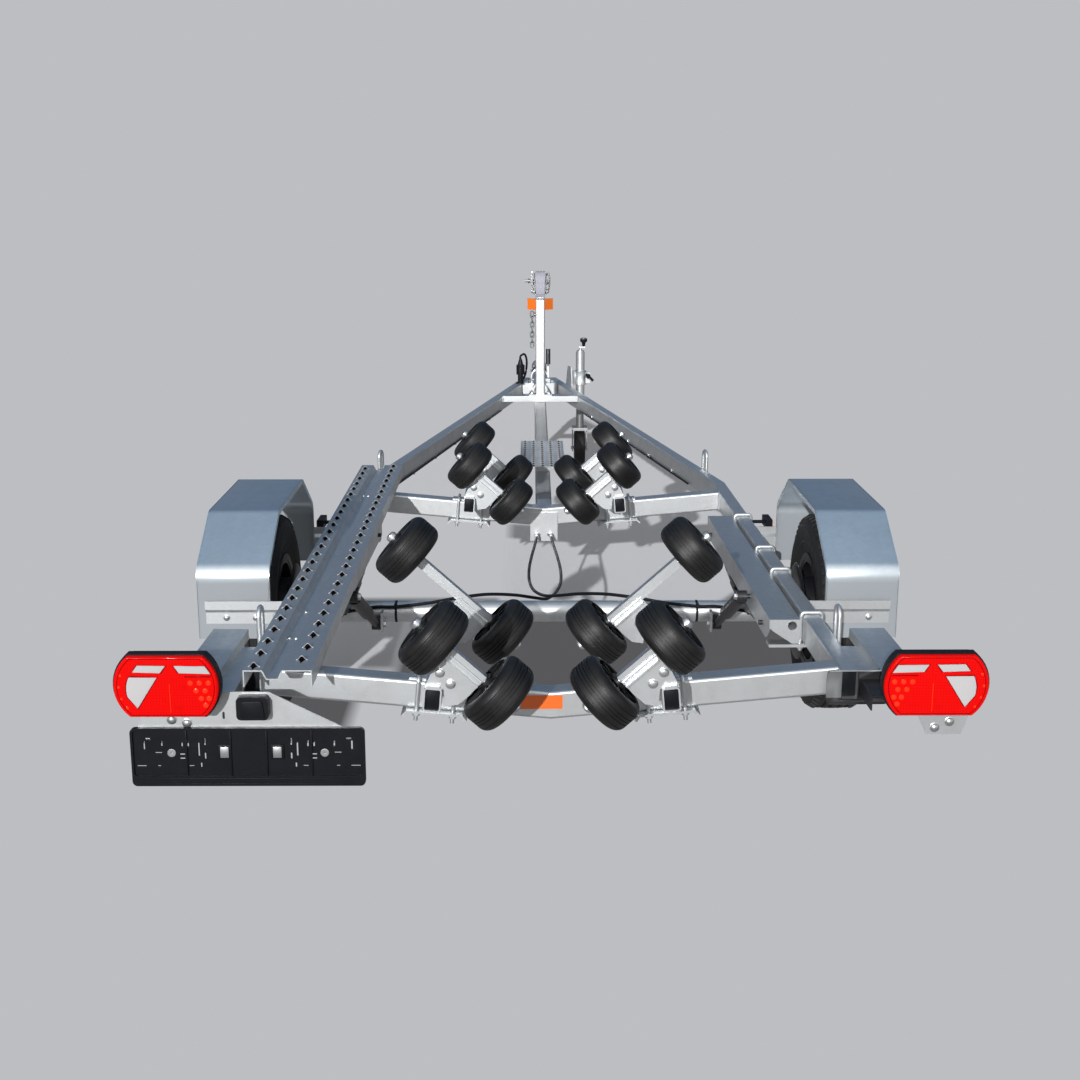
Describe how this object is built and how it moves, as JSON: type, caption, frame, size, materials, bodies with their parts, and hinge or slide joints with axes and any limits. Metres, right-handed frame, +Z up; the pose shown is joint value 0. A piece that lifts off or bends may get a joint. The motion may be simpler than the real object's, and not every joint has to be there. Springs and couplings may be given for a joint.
{
  "type": "boat trailer",
  "caption": "Single-axle galvanised boat trailer with a V drawbar, tilted hull rollers on cradles, winch post, jockey wheel, mudguards, walkway and rear lamps.",
  "frame": {"origin": "on the ground, at the middle of the overall length and width", "axes": "+Z up, +Y towards the coupling, +X to the right seen from behind"},
  "size_m": [1.95, 6.152, 1.1033],
  "materials": {
    "galvanised_steel": "hot-dip galvanised, dull spangle",
    "zinc_plated": "bright zinc plated",
    "wheel_silver": "silver painted",
    "black_rubber": "moulded, satin",
    "tyre_rubber": "matt",
    "black_steel": "semi-gloss black paint",
    "black_plastic": "moulded",
    "red_lens": "clear moulded lens",
    "orange_plastic": "moulded polyurethane",
    "amber_lens": "clear moulded lens"
  },
  "bodies": {
    "chassis": {"rail_left": "galvanised_steel", "rail_right": "galvanised_steel", "crossmember_rear": "galvanised_steel", "crossmember_front": "galvanised_steel", "keel_beam": "galvanised_steel", "winch_crossbar": "galvanised_steel", "overrun_housing": "galvanised_steel", "coupling_head": "zinc_plated", "gaiter": "black_rubber", "handbrake_lever": "black_steel", "axle_beam": "galvanised_steel", "spring_carriers": "galvanised_steel", "leaf_springs": "black_steel", "shock_absorbers": "black_steel", "mudguards": "galvanised_steel", "mudguard_brackets": "galvanised_steel", "walkway": "galvanised_steel", "step_plate": "galvanised_steel", "winch_post": "galvanised_steel", "bow_stop": "orange_plastic", "winch_frame": "zinc_plated", "bow_chain": "zinc_plated", "lashing_eyes": "galvanised_steel", "cradle_clamps": "galvanised_steel", "cradles_rear": "galvanised_steel", "cradles_front": "galvanised_steel", "lamp_housings": "black_plastic", "lamp_lenses": "red_lens", "lamp_arms": "galvanised_steel", "plate_holder": "black_plastic", "side_markers": "black_plastic", "brake_cables": "black_plastic", "connector_plug": "black_plastic", "jockey_clamp": "galvanised_steel", "jockey_tube": "galvanised_steel"},
    "wheel_left": {"tyre_left": "tyre_rubber", "rim_left": "wheel_silver"},
    "wheel_right": {"tyre_right": "tyre_rubber", "rim_right": "wheel_silver"},
    "roller_rl1": {"roller_rl1": "black_rubber"},
    "roller_rl2": {"roller_rl2": "black_rubber"},
    "roller_rl3": {"roller_rl3": "black_rubber"},
    "roller_rl4": {"roller_rl4": "black_rubber"},
    "roller_rr1": {"roller_rr1": "black_rubber"},
    "roller_rr2": {"roller_rr2": "black_rubber"},
    "roller_rr3": {"roller_rr3": "black_rubber"},
    "roller_rr4": {"roller_rr4": "black_rubber"},
    "roller_fl1": {"roller_fl1": "black_rubber"},
    "roller_fl2": {"roller_fl2": "black_rubber"},
    "roller_fl3": {"roller_fl3": "black_rubber"},
    "roller_fl4": {"roller_fl4": "black_rubber"},
    "roller_fr1": {"roller_fr1": "black_rubber"},
    "roller_fr2": {"roller_fr2": "black_rubber"},
    "roller_fr3": {"roller_fr3": "black_rubber"},
    "roller_fr4": {"roller_fr4": "black_rubber"},
    "winch_drum": {"winch_drum": "zinc_plated"},
    "winch_crank": {"winch_crank": "zinc_plated"},
    "jockey_leg": {"jockey_leg": "zinc_plated"},
    "jockey_fork": {"jockey_fork": "zinc_plated"},
    "jockey_wheel": {"jockey_wheel": "black_rubber"}
  },
  "joints": [
    {"name": "wheel_left_spin", "type": "hinge", "parent": "chassis", "child": "wheel_left", "pos_m": [-0.86, -1.774, 0.295], "axis": [1, 0, 0], "continuous": true},
    {"name": "wheel_right_spin", "type": "hinge", "parent": "chassis", "child": "wheel_right", "pos_m": [0.86, -1.774, 0.295], "axis": [1, 0, 0], "continuous": true},
    {"name": "roller_rl1_spin", "type": "hinge", "parent": "chassis", "child": "roller_rl1", "pos_m": [-0.118, -2.989, 0.463], "axis": [-0.7431, 0, 0.6691], "continuous": true},
    {"name": "roller_rl2_spin", "type": "hinge", "parent": "chassis", "child": "roller_rl2", "pos_m": [-0.26143, -2.989, 0.59214], "axis": [-0.7431, 0, 0.6691], "continuous": true},
    {"name": "roller_rl3_spin", "type": "hinge", "parent": "chassis", "child": "roller_rl3", "pos_m": [-0.118, -2.529, 0.463], "axis": [-0.7431, 0, 0.6691], "continuous": true},
    {"name": "roller_rl4_spin", "type": "hinge", "parent": "chassis", "child": "roller_rl4", "pos_m": [-0.35506, -2.529, 0.67645], "axis": [-0.7431, 0, 0.6691], "continuous": true},
    {"name": "roller_rr1_spin", "type": "hinge", "parent": "chassis", "child": "roller_rr1", "pos_m": [0.118, -2.989, 0.463], "axis": [0.7431, 0, 0.6691], "continuous": true},
    {"name": "roller_rr2_spin", "type": "hinge", "parent": "chassis", "child": "roller_rr2", "pos_m": [0.26143, -2.989, 0.59214], "axis": [0.7431, 0, 0.6691], "continuous": true},
    {"name": "roller_rr3_spin", "type": "hinge", "parent": "chassis", "child": "roller_rr3", "pos_m": [0.118, -2.529, 0.463], "axis": [0.7431, 0, 0.6691], "continuous": true},
    {"name": "roller_rr4_spin", "type": "hinge", "parent": "chassis", "child": "roller_rr4", "pos_m": [0.35506, -2.529, 0.67645], "axis": [0.7431, 0, 0.6691], "continuous": true},
    {"name": "roller_fl1_spin", "type": "hinge", "parent": "chassis", "child": "roller_fl1", "pos_m": [-0.118, -0.979, 0.463], "axis": [-0.7431, 0, 0.6691], "continuous": true},
    {"name": "roller_fl2_spin", "type": "hinge", "parent": "chassis", "child": "roller_fl2", "pos_m": [-0.26143, -0.979, 0.59214], "axis": [-0.7431, 0, 0.6691], "continuous": true},
    {"name": "roller_fl3_spin", "type": "hinge", "parent": "chassis", "child": "roller_fl3", "pos_m": [-0.118, -0.519, 0.463], "axis": [-0.7431, 0, 0.6691], "continuous": true},
    {"name": "roller_fl4_spin", "type": "hinge", "parent": "chassis", "child": "roller_fl4", "pos_m": [-0.26143, -0.519, 0.59214], "axis": [-0.7431, 0, 0.6691], "continuous": true},
    {"name": "roller_fr1_spin", "type": "hinge", "parent": "chassis", "child": "roller_fr1", "pos_m": [0.118, -0.979, 0.463], "axis": [0.7431, 0, 0.6691], "continuous": true},
    {"name": "roller_fr2_spin", "type": "hinge", "parent": "chassis", "child": "roller_fr2", "pos_m": [0.26143, -0.979, 0.59214], "axis": [0.7431, 0, 0.6691], "continuous": true},
    {"name": "roller_fr3_spin", "type": "hinge", "parent": "chassis", "child": "roller_fr3", "pos_m": [0.118, -0.519, 0.463], "axis": [0.7431, 0, 0.6691], "continuous": true},
    {"name": "roller_fr4_spin", "type": "hinge", "parent": "chassis", "child": "roller_fr4", "pos_m": [0.26143, -0.519, 0.59214], "axis": [0.7431, 0, 0.6691], "continuous": true},
    {"name": "winch_drum_turn", "type": "hinge", "parent": "chassis", "child": "winch_drum", "pos_m": [0, 1.666, 1.047], "axis": [1, 0, 0], "continuous": true},
    {"name": "winch_crank_turn", "type": "hinge", "parent": "chassis", "child": "winch_crank", "pos_m": [0, 1.738, 1.047], "axis": [1, 0, 0], "continuous": true},
    {"name": "jockey_leg_slide", "type": "slide", "parent": "chassis", "child": "jockey_leg", "axis": [0, 0, 1], "range_m": [-0.12, 0.09]},
    {"name": "jockey_fork_swivel", "type": "hinge", "parent": "jockey_leg", "child": "jockey_fork", "pos_m": [0.222, 2.076, 0.2], "axis": [0, 0, 1], "continuous": true},
    {"name": "jockey_wheel_spin", "type": "hinge", "parent": "jockey_fork", "child": "jockey_wheel", "pos_m": [0.222, 2.126, 0.1], "axis": [1, 0, 0], "continuous": true}
  ],
  "couplings": [
    {"joint": "winch_crank_turn", "follows": "winch_drum_turn", "ratio": -3}
  ]
}
